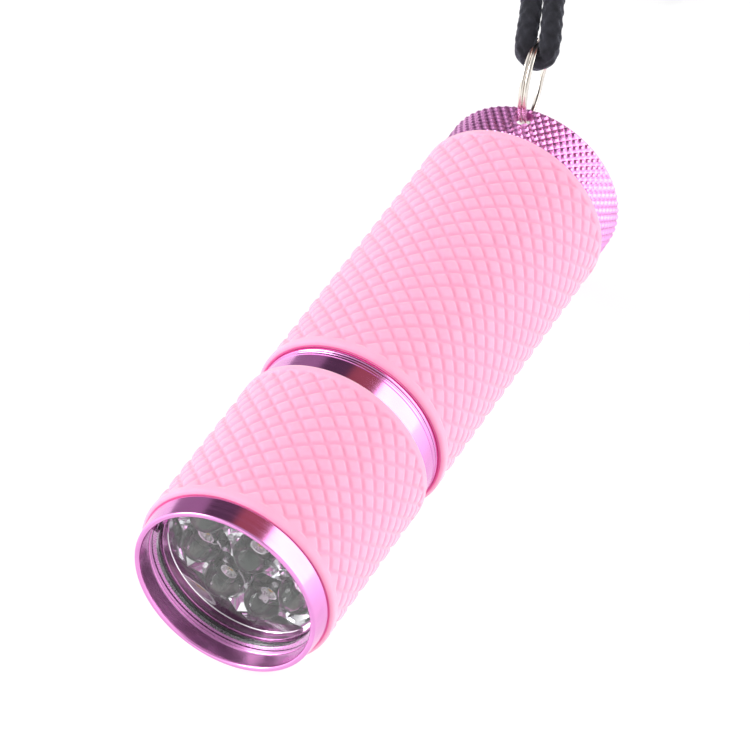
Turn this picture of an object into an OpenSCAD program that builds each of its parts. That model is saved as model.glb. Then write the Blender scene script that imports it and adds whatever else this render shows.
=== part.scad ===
// Hand-held ultraviolet curing lamp: an aluminium pocket torch with nine lamps in a round head,
// two silicone grip sleeves, three AAA cells in a cartridge, a tail switch and a wrist lanyard.
// The lamp lies on its side along Y, head towards -Y, with the lanyard hole on top.

/* [Lamp] */
// Length of the lamp, without the ring and lanyard
lamp_l = 85.3; // [84:0.1:88]
// Radius of the grip sleeves, the widest part of the lamp
grip_r = 13.1; // [13:0.05:13.6]
// Radius of the aluminium tubes
tube_r = 12.35; // [12.3:0.01:12.4]
// Radius of the tail cap
cap_r = 12.6; // [12.5:0.05:12.8]
// Facets of a full circle
round_fn = 96; // [48:8:128]

/* [Head] */
// Radius of the front rim's edge
rim_r = 12.24; // [12.1:0.02:12.4]
// Radius of the bezel where it meets the front sleeve
bezel_r = 12.5; // [12.4:0.02:12.8]
// Length of the bezel
bezel_l = 3.04; // [2.6:0.02:3.2]
// Radius of the window bore
window_r = 11.5; // [11.3:0.05:11.6]
// Thickness of the window
lens_t = 1.0; // [0.8:0.1:1]
// Thickness of the window gasket
gasket_t = 0.5; // [0.4:0.05:0.5]

/* [Lamps] */
// Number of lamps round the middle one
led_ring_n = 8; // [6:1:8]
// Radius of the circle that they stand on
led_ring_r = 7.3; // [7.2:0.05:7.5]
// Turn of that circle from the side
led_turn = 10; // [0:1:44]
// Radius of a lamp
led_r = 2.5; // [2.4:0.05:2.5]
// Length of a lamp
led_l = 8.6; // [8.4:0.1:8.6]

/* [Grips] */
// Where the front sleeve ends
front_grip_end = 28.2; // [27:0.1:29]
// Where the rear sleeve starts
rear_grip_start = 32.5; // [32.3:0.1:34]
// Where the rear sleeve ends
rear_grip_end = 78.9; // [78.5:0.1:78.9]
// Rounding of a sleeve's end
grip_edge = 0.6; // [0.3:0.05:0.7]

/* [Cells] */
// Radius of an AAA cell
cell_r = 5.15; // [5:0.01:5.2]
// Length of an AAA cell, with its button
cell_l = 44.5; // [44:0.1:44.5]
// Distance of each cell from the axis
cell_ring_r = 5.98; // [5.96:0.01:6]
// Radius of the cartridge
cartridge_r = 11.15; // [11.1:0.01:11.2]

/* [Tail] */
// Radius of the threaded plug on the tail cap
plug_r = 11.7; // [11.6:0.01:11.72]
// Radius of the rear recess
recess_r = 11.2; // [11:0.05:11.4]
// Radius of the lanyard hole
lanyard_hole_r = 1.3; // [1.2:0.05:1.4]
// Radius of the switch boot's dome
boot_r = 6.0; // [5:0.1:6]
// Travel of the switch
switch_travel = 1.2; // [0.8:0.1:1.4]

/* [Lanyard] */
// Mean radius of the split ring
ring_r = 5.6; // [5.5:0.05:5.7]
// Width of the ring's flat wire across its turns
ring_wire = 0.56; // [0.5:0.02:0.6]
// Thickness of that wire, from inside to outside
ring_wire_t = 0.6; // [0.5:0.05:0.6]
// Turn of the ring to the left of straight back
ring_turn = 9.3; // [0:0.1:20]
// Diameter of the lanyard's cord
cord_d = 2.8; // [2.6:0.1:2.8]

/* [Hidden] */
$fn = round_fn;

e = 1;                      // overrun of a cutting tool
axis_z = grip_r;            // height of the lamp's axis above the surface

// Along the lamp, measured back from the front rim
snap_s = 3.2;               // front of the snap ring
snap_t = 0.5;
lens_s = snap_s + snap_t;
gasket_s = lens_s + lens_t;
ledge_s = gasket_s + gasket_t;
module_s = 6.05;            // front of the lamp module, just behind the ledge
ledge_r = 10.6;
lens_r = window_r - 0.1;
gasket_bore_r = ledge_r + 0.1;
module_gap = 0.05;          // between the ledge and the lamp module
rim_edge = 0.15;
bore_edge = 0.25;
bezel_edge = 0.3;
snap_w = 0.6;
snap_gap_w = 2.4;
snap_gap_turn = 200;
module_r = 11.8;
socket_r = 11.9;            // bore of the head behind the ledge
cup_floor_s = 10.0;
cup_r = 10.6;
led_tip_s = 5.6;
led_flange_t = 1.0;
led_flange_r = 2.75;
led_base_s = led_tip_s + led_l;
led_hole_r = led_r + 0.1;
board_t = 1.6;
board_r = 10.95;
board_s = led_base_s;
board_gap = 0.05;           // round the board, in the lamp module
flange_gap = 0.1;           // in front of the lamps' flanges
board_back_s = board_s + board_t;
leg_r = 0.25;
leg_gap = 2.54;
leg_end_s = board_back_s + 1.2;
leg_hole_r = 0.4;
solder_r = 0.7;
solder_l = 0.5;
head_end_s = 31.8;
neck_s = 26.0;              // front of the barrel's neck
neck_r = 11.85;
collar_s = head_end_s + 0.15;
barrel_bore_r = 11.35;
step_gap = 0.2;             // in front of the tail cap's plug
tail_bore_r = plug_r + 0.05;
plug_s = 72.9;
barrel_end_s = rear_grip_end;
groove_t = 0.9;             // width of an o-ring groove
o_ring_wire = 0.16;
head_groove_s = 27.3;
tail_groove_s = 77.4;
groove_depth = 0.3;

// Cartridge
cart_front_s = 22.2;
cart_rear_s = 72.5;
plate_t = 0.8;
wall_t = 1.2;
tab_t = 0.3;
tab_r = 2.6;
frame_front_s = cart_front_s + plate_t;
frame_rear_s = cart_rear_s - plate_t;
bay_front_s = frame_front_s + wall_t;
bay_rear_s = frame_rear_s - wall_t;
bay_l = bay_rear_s - bay_front_s;
nub_r = 1.9;
nub_l = 0.8;
cell_spring_l = bay_l - cell_l - tab_t;
rivet_r = 1.2;
core_r = 0.7;
post_r = 2.3;
post_ring_r = 8.5;
button_r = 2.5;
button_l = 0.7;
rear_contact_t = 0.3;
rear_contact_r = 5.0;
spring_wire_r = 0.25;
front_spring = [3.6, 1.8];  // radius at the foot and at the top
front_spring_turns = 5;
cell_spring = [3.2, 1.6];
cell_spring_turns = 2;

// Tail
boot_floor_s = 79.6;        // rear face of the boot's flange
boot_flange_t = 1.0;
boot_seat_s = boot_floor_s - boot_flange_t;
recess_s = 81.4;
cap_s = 78.95;
cap_bore_r = 10.3;
boot_hole_r = boot_r + 0.1;
boot_base_s = 80.2;
boot_top_s = 84.6;
boot_wall = 1.0;
switch_s = 75.3;
switch_r = cap_bore_r;
retainer_s = 73.9;
retainer_in_r = 8.9;
plate_s = 74.6;
contact_plate_t = 0.6;
contact_plate_r = 8.5;
plunger_r = 2.2;
plunger_foot = 0.3;         // length of the plunger inside the switch
plunger_gap = 0.4;          // below the pressed plunger
dome_h = 2.0;
plunger_top_s = boot_top_s - dome_h;
cap_edge = 0.4;
cap_edge_r = cap_r - 0.3;
tail_spring = [4.2, 2.2];   // radius at the foot and at the top
tail_spring_turns = 3;
tail_wire_r = 0.3;

// Lanyard
hole_at = [-0.6, 40.35];    // the hole through the cap's edge
ring_centre = [-1.4, 45.1, 28.0];
cord_r = cord_d / 2;

// The cord's route outside the hank: from the hank up to the ring, through it, and back down
cord_route = [
    [-8.5, 107, 1.4], [-8.5, 104.0, 1.8], [-9.0, 100.4, 4.6], [-10.0, 96.8, 9.0],
    [-11.2, 92.7, 14.1], [-12.2, 88.0, 20.2], [-12.7, 82.4, 26.4], [-12.4, 76.0, 32.0],
    [-11.3, 69.2, 36.0], [-9.6, 62.4, 38.4], [-7.6, 56.4, 39.0], [-4.9, 51.2, 38.0],
    [-3.7, 47.8, 36.4], [-3.3, 45.6, 34.0], [-2.9, 45.0, 32.3], [-1.4, 45.1, 31.6],
    [0.1, 45.5, 32.3], [0.5, 46.2, 34.0], [-0.5, 48.3, 36.4],
    [-1.9, 51.7, 38.0], [-4.3, 56.8, 39.0], [-6.6, 62.6, 38.4], [-8.4, 69.4, 36.0],
    [-9.5, 76.1, 32.0], [-9.8, 82.5, 26.4], [-9.3, 88.1, 20.2], [-8.3, 92.8, 14.1],
    [-7.1, 96.9, 9.0], [-6.1, 100.5, 4.6], [-5.6, 104.1, 1.8], [-5.6, 107, 1.4]
];

// The hank that the rest of the lanyard is folded into, held by a tie
hank_mid_x = -10.0;
hank_front_y = 107;
hank_back_y = 135.5;
hank_w = 19.2;
hank_h = cord_d + 0.1;
tie_y = 115;
tie_w = 5.0;
tie_t = 0.5;
tied_w = 12.2;

function unit(v) = v / norm(v);

// A closed tube of radius r with n sides along the points p
module swept(p, r, n, guide) {
    last = len(p) - 1;
    way = [for (i = [0:last]) unit(p[min(i + 1, last)] - p[max(i - 1, 0)])];
    across = [for (i = [0:last]) unit(cross(way[i], guide))];
    over = [for (i = [0:last]) cross(across[i], way[i])];
    points = [
        for (i = [0:last]) for (k = [0:n - 1])
            p[i] + r * (cos(360 * k / n) * across[i] + sin(360 * k / n) * over[i])
    ];
    sides = [
        for (i = [0:last - 1]) for (k = [0:n - 1])
            [i * n + k, i * n + (k + 1) % n, (i + 1) * n + (k + 1) % n, (i + 1) * n + k]
    ];
    front = [for (k = [0:n - 1]) n - 1 - k];
    back = [for (k = [0:n - 1]) last * n + k];
    polyhedron(points, concat(sides, [front], [back]), convexity = 6);
}

// A coil spring along local Z; radii holds its radius at the foot and at the top
module coil_spring(radii, l, turns, wire_r) {
    steps = 14;
    count = turns * steps;
    swept(
        [
            for (i = [0:count])
                let (t = i / count, r = radii[0] + (radii[1] - radii[0]) * t)
                    [r * cos(360 * i / steps), r * sin(360 * i / steps), wire_r + (l - 2 * wire_r) * t]
        ],
        wire_r, 6, [0, 0, 1]
    );
}

// Children drawn along local Z stand on the lamp's axis, s back from the front rim
module on_axis(s) {
    translate([0, s - lamp_l / 2, axis_z]) rotate([-90, 0, 0]) children();
}

module bar(s0, s1, r) {
    on_axis(s0) cylinder(h = s1 - s0, r = r);
}

module pipe(s0, s1, r, bore) {
    on_axis(s0) difference() {
        cylinder(h = s1 - s0, r = r);
        translate([0, 0, -e]) cylinder(h = s1 - s0 + 2 * e, r = bore);
    }
}

module o_ring(s, r, wire) {
    on_axis(s) rotate_extrude() translate([r, 0]) circle(r = wire, $fn = 24);
}

// Where each lamp stands, as seen along local Z
function led_places() = concat(
    [[0, 0]],
    [for (i = [0:led_ring_n - 1])
        let (a = led_turn + 360 * i / led_ring_n)
            led_ring_r * [cos(a), -sin(a)]]
);

// Where each cell stands, and whether its button faces the head
function cell_place(i) = cell_ring_r * [sin(120 * i), -cos(120 * i)];
function cell_forward(i) = i != 1;

// ---- Barrel ----

module barrel() {
    color("plum") difference() {
        union() {
            bar(neck_s, collar_s, neck_r);
            bar(collar_s, barrel_end_s, tube_r);
        }
        bar(neck_s - e, plug_s, barrel_bore_r);
        bar(plug_s - step_gap, barrel_end_s + e, tail_bore_r);
        pipe(head_groove_s, head_groove_s + groove_t, neck_r + e, neck_r - groove_depth);
    }
}

module sleeve(s0, s1) {
    l = s1 - s0;
    color("pink") on_axis(s0) rotate_extrude() difference() {
        union() {
            translate([tube_r, grip_edge]) square([grip_r - tube_r, l - 2 * grip_edge]);
            translate([tube_r, 0]) square([grip_r - grip_edge - tube_r, l]);
            for (z = [grip_edge, l - grip_edge])
                translate([grip_r - grip_edge, z]) circle(r = grip_edge, $fn = 32);
        }
        translate([tube_r - grip_r, -e]) square([grip_r, l + 2 * e]);
    }
}

module rear_grip_sleeve() {
    sleeve(rear_grip_start, rear_grip_end);
}

module head_o_ring() {
    color("black")
        o_ring(head_groove_s + groove_t / 2, neck_r - groove_depth + o_ring_wire, o_ring_wire);
}

// ---- Head ----

module head_shell() {
    color("orchid") on_axis(0) rotate_extrude() polygon([
        [window_r + bore_edge, 0], [rim_r - rim_edge, 0], [rim_r, rim_edge], [bezel_r, bezel_l - bezel_edge],
        [bezel_r, bezel_l], [tube_r, bezel_l], [tube_r, head_end_s], [socket_r, head_end_s],
        [socket_r, module_s - module_gap], [ledge_r, module_s - module_gap], [ledge_r, ledge_s],
        [window_r, ledge_s], [window_r, bore_edge]
    ]);
}

module front_grip_sleeve() {
    sleeve(bezel_l, front_grip_end);
}

module lens() {
    color("lightblue", 0.4) bar(lens_s, lens_s + lens_t, lens_r);
}

module lens_gasket() {
    color("dimgray") pipe(gasket_s, gasket_s + gasket_t, lens_r, gasket_bore_r);
}

module lens_snap_ring() {
    color("silver") difference() {
        pipe(snap_s, snap_s + snap_t, window_r, window_r - snap_w);
        on_axis(snap_s - e) rotate([0, 0, snap_gap_turn])
            translate([window_r - snap_w - e, -snap_gap_w / 2, 0])
                cube([snap_w + 2 * e, snap_gap_w, snap_t + 2 * e]);
    }
}

// ---- Lamp module ----

module led_reflector() {
    color("gainsboro") difference() {
        bar(module_s, board_back_s, module_r);
        bar(module_s - e, cup_floor_s, cup_r);
        bar(led_base_s - led_flange_t - flange_gap, board_back_s + e, board_r + board_gap);
        on_axis(0) for (p = led_places())
            translate([p[0], p[1], 0]) cylinder(h = led_base_s, r = led_hole_r, $fn = 48);
    }
}

module led_board() {
    color("darkgreen") on_axis(board_s) difference() {
        cylinder(h = board_t, r = board_r);
        for (p = led_places()) for (side = [-1, 1])
            translate([p[0] + side * leg_gap / 2, p[1], -e])
                cylinder(h = board_t + 2 * e, r = leg_hole_r, $fn = 24);
    }
}

module uv_leds() {
    color("lavender", 0.5) on_axis(led_tip_s) for (p = led_places()) translate([p[0], p[1], 0]) {
        translate([0, 0, led_r]) sphere(r = led_r, $fn = 48);
        translate([0, 0, led_r]) cylinder(h = led_l - led_r, r = led_r, $fn = 48);
        translate([0, 0, led_l - led_flange_t]) cylinder(h = led_flange_t, r = led_flange_r, $fn = 48);
    }
}

module led_leads() {
    color("silver") on_axis(board_s) for (p = led_places()) for (side = [-1, 1])
        translate([p[0] + side * leg_gap / 2, p[1], 0]) {
            cylinder(h = leg_end_s - board_s, r = leg_r, $fn = 16);
            translate([0, 0, board_t]) cylinder(h = solder_l, r = solder_r, $fn = 16);
        }
}

module front_contact_spring() {
    color("silver") on_axis(board_back_s)
        coil_spring(front_spring, cart_front_s - button_l - board_back_s, front_spring_turns, spring_wire_r);
}

// ---- Cartridge ----

module cartridge_frame() {
    frame_l = frame_rear_s - frame_front_s;
    color("dimgray") on_axis(frame_front_s) {
        for (z = [0, frame_l - wall_t]) translate([0, 0, z]) difference() {
            cylinder(h = wall_t, r = cartridge_r);
            for (i = [0:2]) translate([cell_place(i)[0], cell_place(i)[1], -e])
                cylinder(h = wall_t + 2 * e, r = rivet_r, $fn = 24);
        }
        cylinder(h = frame_l, r = core_r, $fn = 24);
        for (i = [0:2]) rotate([0, 0, 60 + 120 * i]) translate([0, -post_ring_r, 0])
            cylinder(h = frame_l, r = post_r, $fn = 48);
    }
}

module cartridge_board(s) {
    color("seagreen") bar(s, s + plate_t, cartridge_r);
}

module cartridge_front_board() {
    cartridge_board(cart_front_s);
}

module cartridge_rear_board() {
    cartridge_board(frame_rear_s);
}

module cartridge_front_button() {
    color("gold") bar(cart_front_s - button_l, cart_front_s, button_r);
}

module cartridge_rear_contact() {
    color("gold") bar(cart_rear_s, cart_rear_s + rear_contact_t, rear_contact_r);
}

// A cell along local Z with its button at the start
module aaa_cell() {
    color("slategray") {
        cylinder(h = nub_l, r = nub_r, $fn = 48);
        translate([0, 0, nub_l]) cylinder(h = cell_l - nub_l, r = cell_r);
    }
}

module cell(i) {
    s = cell_forward(i) ? bay_front_s + tab_t : bay_rear_s - tab_t;
    on_axis(s) translate([cell_place(i)[0], cell_place(i)[1], 0])
        rotate([cell_forward(i) ? 0 : 180, 0, 0]) aaa_cell();
}

module cell_contact_tabs() {
    color("silver") for (i = [0:2])
        on_axis(cell_forward(i) ? bay_front_s : bay_rear_s - tab_t)
            translate([cell_place(i)[0], cell_place(i)[1], 0]) cylinder(h = tab_t, r = tab_r, $fn = 48);
}

module cell_contact_springs() {
    color("silver") for (i = [0:2])
        on_axis(cell_forward(i) ? bay_rear_s : bay_front_s)
            translate([cell_place(i)[0], cell_place(i)[1], 0])
                rotate([cell_forward(i) ? 180 : 0, 0, 0])
                    coil_spring(cell_spring, cell_spring_l, cell_spring_turns, spring_wire_r);
}

// ---- Tail ----

module tail_contact_plate() {
    color("gold") bar(plate_s, plate_s + contact_plate_t, contact_plate_r);
}

module tail_contact_spring() {
    color("silver") on_axis(plate_s) rotate([180, 0, 0])
        coil_spring(tail_spring, plate_s - cart_rear_s - rear_contact_t, tail_spring_turns, tail_wire_r);
}

module lanyard_hole() {
    translate([hole_at[0], hole_at[1], axis_z]) cylinder(h = cap_r + e, r = lanyard_hole_r, $fn = 48);
}

module tail_cap() {
    color("orchid") difference() {
        union() {
            bar(plug_s, cap_s, plug_r);
            bar(cap_s, lamp_l - cap_edge, cap_r);
            on_axis(lamp_l - cap_edge) cylinder(h = cap_edge, r1 = cap_r, r2 = cap_edge_r);
        }
        bar(plug_s - e, boot_floor_s, cap_bore_r);
        bar(boot_floor_s - e, recess_s + e, boot_hole_r);
        bar(recess_s, lamp_l + e, recess_r);
        pipe(tail_groove_s, tail_groove_s + groove_t, plug_r + e, plug_r - groove_depth);
        lanyard_hole();
    }
}

module tail_o_ring() {
    color("black")
        o_ring(tail_groove_s + groove_t / 2, plug_r - groove_depth + o_ring_wire, o_ring_wire);
}

module switch_body() {
    color("dimgray") difference() {
        bar(switch_s, boot_seat_s, switch_r);
        bar(boot_seat_s - switch_travel - plunger_gap, boot_seat_s + e, plunger_r + 0.1);
    }
}

module switch_retaining_ring() {
    color("gold") pipe(retainer_s, switch_s, cap_bore_r, retainer_in_r);
}

module switch_boot_rim() {
    color("gray") pipe(boot_seat_s, boot_floor_s, cap_bore_r, boot_hole_r);
}

module switch_boot_dome() {
    skirt_l = plunger_top_s - boot_base_s;
    color("gray") on_axis(boot_base_s) rotate_extrude() difference() {
        union() {
            square([boot_r, skirt_l]);
            translate([0, skirt_l]) intersection() {
                scale([1, dome_h / boot_r]) circle(r = boot_r, $fn = 64);
                square([boot_r, dome_h]);
            }
        }
        translate([-e, -e]) square([boot_r - boot_wall + e, skirt_l + e]);
    }
}

module switch_plunger() {
    color("white") bar(boot_seat_s - plunger_foot, plunger_top_s, plunger_r);
}

// ---- Ring and lanyard ----

module split_ring() {
    wire_gap = 80;          // the part of the circle that each of the two turns leaves out
    wire_start = [70, -20];
    color("silver") translate(ring_centre) rotate([0, 0, ring_turn]) rotate([90, 0, 90])
        for (i = [0, 1]) translate([0, 0, (i - 1) * ring_wire])
            rotate([0, 0, wire_start[i]]) rotate_extrude(angle = 360 - wire_gap)
                translate([ring_r - ring_wire_t / 2, 0]) square([ring_wire_t, ring_wire]);
}

module lanyard_cord() {
    color("black") swept(cord_route, cord_r, 8, [1, 1, 1]);
}

module stadium(x, y0, y1, w, z0, z1) {
    translate([x, 0, z0]) linear_extrude(z1 - z0) {
        translate([-w / 2, y0 + w / 2]) square([w, y1 - y0 - w]);
        translate([0, y0 + w / 2]) circle(r = w / 2);
        translate([0, y1 - w / 2]) circle(r = w / 2);
    }
}

module lanyard_hank() {
    cut_w = 2 * hank_w;
    cut_l = hank_w / 2;
    color("black") {
        difference() {
            stadium(hank_mid_x, hank_front_y - cut_l / 2, hank_back_y, hank_w, 0, hank_h);
            translate([hank_mid_x - cut_w / 2, hank_front_y - cut_l, -e])
                cube([cut_w, cut_l, hank_h + 2 * e]);
            translate([hank_mid_x - cut_w / 2, tie_y, -e]) cube([cut_w, tie_w, hank_h + 2 * e]);
        }
        translate([hank_mid_x - tied_w / 2, tie_y - e, tie_t])
            cube([tied_w, tie_w + 2 * e, hank_h - tie_t]);
    }
}

module hank_tie() {
    color("dimgray") difference() {
        translate([hank_mid_x - tied_w / 2 - tie_t, tie_y, 0])
            cube([tied_w + 2 * tie_t, tie_w, hank_h + tie_t]);
        translate([hank_mid_x - tied_w / 2, tie_y - e, tie_t])
            cube([tied_w, tie_w + 2 * e, hank_h - tie_t]);
    }
}

barrel();
rear_grip_sleeve();
head_o_ring();
head_shell();
front_grip_sleeve();
lens();
lens_gasket();
lens_snap_ring();
led_reflector();
led_board();
uv_leds();
led_leads();
front_contact_spring();
cartridge_frame();
cartridge_front_board();
cartridge_rear_board();
cartridge_front_button();
cartridge_rear_contact();
cell(0);  // cell_1
cell(1);  // cell_2
cell(2);  // cell_3
cell_contact_tabs();
cell_contact_springs();
tail_contact_spring();
tail_contact_plate();
tail_cap();
tail_o_ring();
switch_body();
switch_retaining_ring();
switch_boot_rim();
switch_boot_dome();
switch_plunger();
split_ring();
lanyard_cord();
lanyard_hank();
hank_tie();
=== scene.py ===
"""Looks of a pocket torch style UV curing lamp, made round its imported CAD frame."""
import math

import bmesh
import bpy
import numpy as np
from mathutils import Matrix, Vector


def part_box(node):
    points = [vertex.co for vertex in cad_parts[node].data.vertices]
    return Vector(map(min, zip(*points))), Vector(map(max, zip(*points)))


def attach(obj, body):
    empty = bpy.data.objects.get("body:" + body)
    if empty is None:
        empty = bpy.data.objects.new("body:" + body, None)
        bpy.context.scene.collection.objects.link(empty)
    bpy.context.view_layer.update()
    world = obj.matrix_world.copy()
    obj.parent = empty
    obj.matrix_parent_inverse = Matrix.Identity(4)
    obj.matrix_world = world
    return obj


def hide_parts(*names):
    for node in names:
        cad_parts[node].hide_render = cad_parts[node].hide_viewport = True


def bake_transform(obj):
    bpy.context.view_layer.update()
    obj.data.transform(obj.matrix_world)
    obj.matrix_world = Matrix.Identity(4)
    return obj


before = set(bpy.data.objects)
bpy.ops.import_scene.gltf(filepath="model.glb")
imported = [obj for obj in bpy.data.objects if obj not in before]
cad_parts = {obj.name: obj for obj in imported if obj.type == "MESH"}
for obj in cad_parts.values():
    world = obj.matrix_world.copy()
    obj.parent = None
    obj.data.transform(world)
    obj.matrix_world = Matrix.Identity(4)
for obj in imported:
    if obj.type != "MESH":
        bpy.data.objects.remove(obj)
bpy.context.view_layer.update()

MM = 0.001
FULL_TURN = 2 * math.pi


# ---- Sizes read from the frame, in millimetres ----

def corners(node):
    """Lowest and highest corner of a CAD node, in millimetres."""
    low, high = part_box(node)
    return low / MM, high / MM


FRONT_Y = corners("head_shell")[0].y
AXIS_Z = sum(corner.z for corner in corners("rear_grip_sleeve")) / 2


def span(node):
    """Where a node starts and ends along the lamp, behind the front rim."""
    low, high = corners(node)
    return low.y - FRONT_Y, high.y - FRONT_Y


def radius_of(node):
    """Half of a round node's width, in millimetres."""
    low, high = corners(node)
    return (high.x - low.x) / 2


def centre_of(node):
    """A node's middle across the lamp, as (x, up) from the axis."""
    low, high = corners(node)
    return (low.x + high.x) / 2, (low.z + high.z) / 2 - AXIS_Z


GRIP_R = radius_of("rear_grip_sleeve")
END_ROUNDING = 0.55
TUBE_R = 12.35
CAP_START, CAP_END = 78.95, span("tail_cap")[1]
HEAD_END = span("head_shell")[1]
BARREL_START, BARREL_END = span("barrel")


# ---- Meshes ----

def on_axis(angle, s, r):
    """Points at an angle from straight up towards +X, s behind the front rim, r from the axis."""
    return np.stack([r * np.sin(angle), s + FRONT_Y + 0 * r, AXIS_Z + r * np.cos(angle)], -1)


def link(thing):
    """Puts an object in the scene."""
    bpy.context.scene.collection.objects.link(thing)


def new_object(name, vertices, faces):
    """An object from points in millimetres."""
    mesh = bpy.data.meshes.new(name)
    mesh.from_pydata((np.asarray(vertices, float) * MM).tolist(), [], [list(f) for f in faces])
    mesh.update()
    thing = bpy.data.objects.new(name, mesh)
    link(thing)
    return thing


def finish_piece(thing, finish, body, stands_for=(), sharp=38):
    """Shades a piece, gives it its material, and puts it on its CAD body."""
    thing.data.shade_smooth()
    thing.data.set_sharp_from_angle(angle=math.radians(sharp))
    thing.data.materials.clear()
    thing.data.materials.append(finish.material)
    if body:
        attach(thing, body)
    if stands_for:
        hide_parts(*stands_for)
    return thing


def add_piece(name, shape, *finishing, **settings):
    """A finished piece from (points, faces)."""
    return finish_piece(new_object(name, *shape), *finishing, **settings)


def bevel(thing, width):
    """Rounds a piece's sharp edges, in millimetres."""
    rounding = thing.modifiers.new("rounding", "BEVEL")
    rounding.width = width * MM
    rounding.segments = 2
    rounding.limit_method = "ANGLE"
    rounding.angle_limit = math.radians(28)


def grid_faces(rows, columns, close_rows=False):
    """Quads between rings of points, each ring closed on itself."""
    faces = []
    for i in range(rows if close_rows else rows - 1):
        here, there = i * columns, (i + 1) % rows * columns
        for k in range(columns):
            after = (k + 1) % columns
            faces.append((here + k, here + after, there + after, there + k))
    return faces


def tube_faces(rings, around, closed=False):
    """Faces of a tube, with its ends filled unless it runs in a loop."""
    faces = grid_faces(rings, around, close_rows=closed)
    if not closed:
        last = (rings - 1) * around
        faces.append(tuple(reversed(range(around))))
        faces.append(tuple(last + k for k in range(around)))
    return faces


def joined(shapes):
    """Several (points, faces) as one."""
    points, faces, start = [], [], 0
    for some_points, some_faces in shapes:
        points.append(np.asarray(some_points, float))
        faces += [tuple(i + start for i in face) for face in some_faces]
        start += len(some_points)
    return np.concatenate(points), faces


def lathe(outline, steps=160, closed=True):
    """A turned shape round local Z, from (z, r) points that run so that the outside is outwards."""
    angles = np.linspace(0, FULL_TURN, steps, endpoint=False)
    cos, sin = np.cos(angles), np.sin(angles)
    rings = [np.stack([r * cos, r * sin, 0 * angles + z], -1) for z, r in outline]
    return np.concatenate(rings), grid_faces(len(outline), steps, close_rows=closed)


def capped_lathe(outline, steps=48):
    """A turned shape whose outline starts and ends on the axis."""
    points, faces = lathe(outline[1:-1], steps, closed=False)
    count = len(points)
    points = np.concatenate([points, [[0, 0, outline[0][0]], [0, 0, outline[-1][0]]]])
    top = count - steps
    for k in range(steps):
        after = (k + 1) % steps
        faces.append((count, after, k))
        faces.append((count + 1, top + k, top + after))
    return points, faces


def stand(shape, s, x=0.0, up=0.0, forward=False):
    """Puts a shape made along local Z on the lamp, s behind the front rim and pointing to the tail."""
    points, faces = shape
    points = np.asarray(points, float)
    sign = -1 if forward else 1
    placed = np.stack(
        [points[:, 0] + x, sign * points[:, 2] + s + FRONT_Y, AXIS_Z + up + points[:, 1]], -1
    )
    if not forward:
        faces = [tuple(reversed(face)) for face in faces]
    return placed, faces


def supported(outline, gap=0.05):
    """A closed outline with a point near each end of its long sides, to keep them flat."""
    points = []
    for here, there in zip(outline, outline[1:] + outline[:1]):
        length = math.dist(here, there)
        points.append(here)
        if length > 5 * gap:
            for share in (gap / length, 1 - gap / length):
                points.append(tuple(a + (b - a) * share for a, b in zip(here, there)))
    return points


def turned(name, outline, *finishing, steps=160):
    """A closed ring turned about the lamp's axis, from (s, r) points."""
    return add_piece(name, stand(lathe(supported(outline), steps), 0), *finishing)


def smooth_path(points, step, closed=False):
    """A Catmull-Rom curve through the points, with points about step apart."""
    points = np.asarray(points, float)
    if closed:
        padded = np.concatenate([points[-1:], points, points[:2]])
    else:
        before, beyond = 2 * points[:1] - points[1:2], 2 * points[-1:] - points[-2:-1]
        padded = np.concatenate([before, points, beyond])
    t = np.linspace(0, 1, 24, endpoint=False)[:, None]
    fine = [
        0.5 * (2 * b + (c - a) * t + (2 * a - 5 * b + 4 * c - d) * t**2
               + (3 * b - a - 3 * c + d) * t**3)
        for a, b, c, d in zip(padded, padded[1:], padded[2:], padded[3:])
    ]
    fine = np.concatenate(fine + [padded[-2:-1]])
    along = np.concatenate([[0], np.cumsum(np.linalg.norm(np.diff(fine, axis=0), axis=1))])
    count = max(2, round(along[-1] / step)) + 1
    at = np.linspace(0, along[-1], count)
    return np.stack([np.interp(at, along, fine[:, k]) for k in range(3)], -1)


def frames_along(path, closed=False):
    """Two directions across the path at each point, carried along it without twist."""
    if closed:
        way = np.roll(path, -1, 0) - np.roll(path, 1, 0)
    else:
        way = np.gradient(path, axis=0)
    way /= np.linalg.norm(way, axis=1)[:, None]
    guide = np.array([0.0, 0.0, 1.0]) if abs(way[0, 2]) < 0.9 else np.array([1.0, 0.0, 0.0])
    across = np.cross(way[0], guide)
    sides = []
    for direction in way:
        across = across - direction * (across @ direction)
        across /= np.linalg.norm(across)
        sides.append(across)
    sides = np.array(sides)
    over = np.cross(sides, way)
    if closed:
        last = sides[-1] - way[0] * (sides[-1] @ way[0])
        twist = math.atan2(last @ over[0], last @ sides[0])
        share = -twist * np.arange(len(path)) / len(path)
        cos, sin = np.cos(share)[:, None], np.sin(share)[:, None]
        sides, over = sides * cos + over * sin, over * cos - sides * sin
    return sides, over


def swept(path, section, closed=False, radii=None):
    """A tube whose section, (across, over) points, follows the path; radii may scale each point."""
    sides, over = frames_along(path, closed)
    section = np.asarray(section, float)
    scaled = section[None] * (1 if radii is None else radii[..., None])
    points = path[:, None] + scaled[..., :1] * sides[:, None] + scaled[..., 1:] * over[:, None]
    return points.reshape(-1, 3), tube_faces(len(path), len(section), closed)


def circle(r, count=12):
    """Points round a circle."""
    angles = np.linspace(0, FULL_TURN, count, endpoint=False)
    return np.stack([r * np.cos(angles), r * np.sin(angles)], -1)


def cut_rectangle(half_u, half_v, cut_u, cut_v):
    """The outline of a rectangle with its corners cut off."""
    u, v = half_u - cut_u, half_v - cut_v
    return [(-u, -half_v), (u, -half_v), (half_u, -v), (half_u, v),
            (u, half_v), (-u, half_v), (-half_u, v), (-half_u, -v)]


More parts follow.
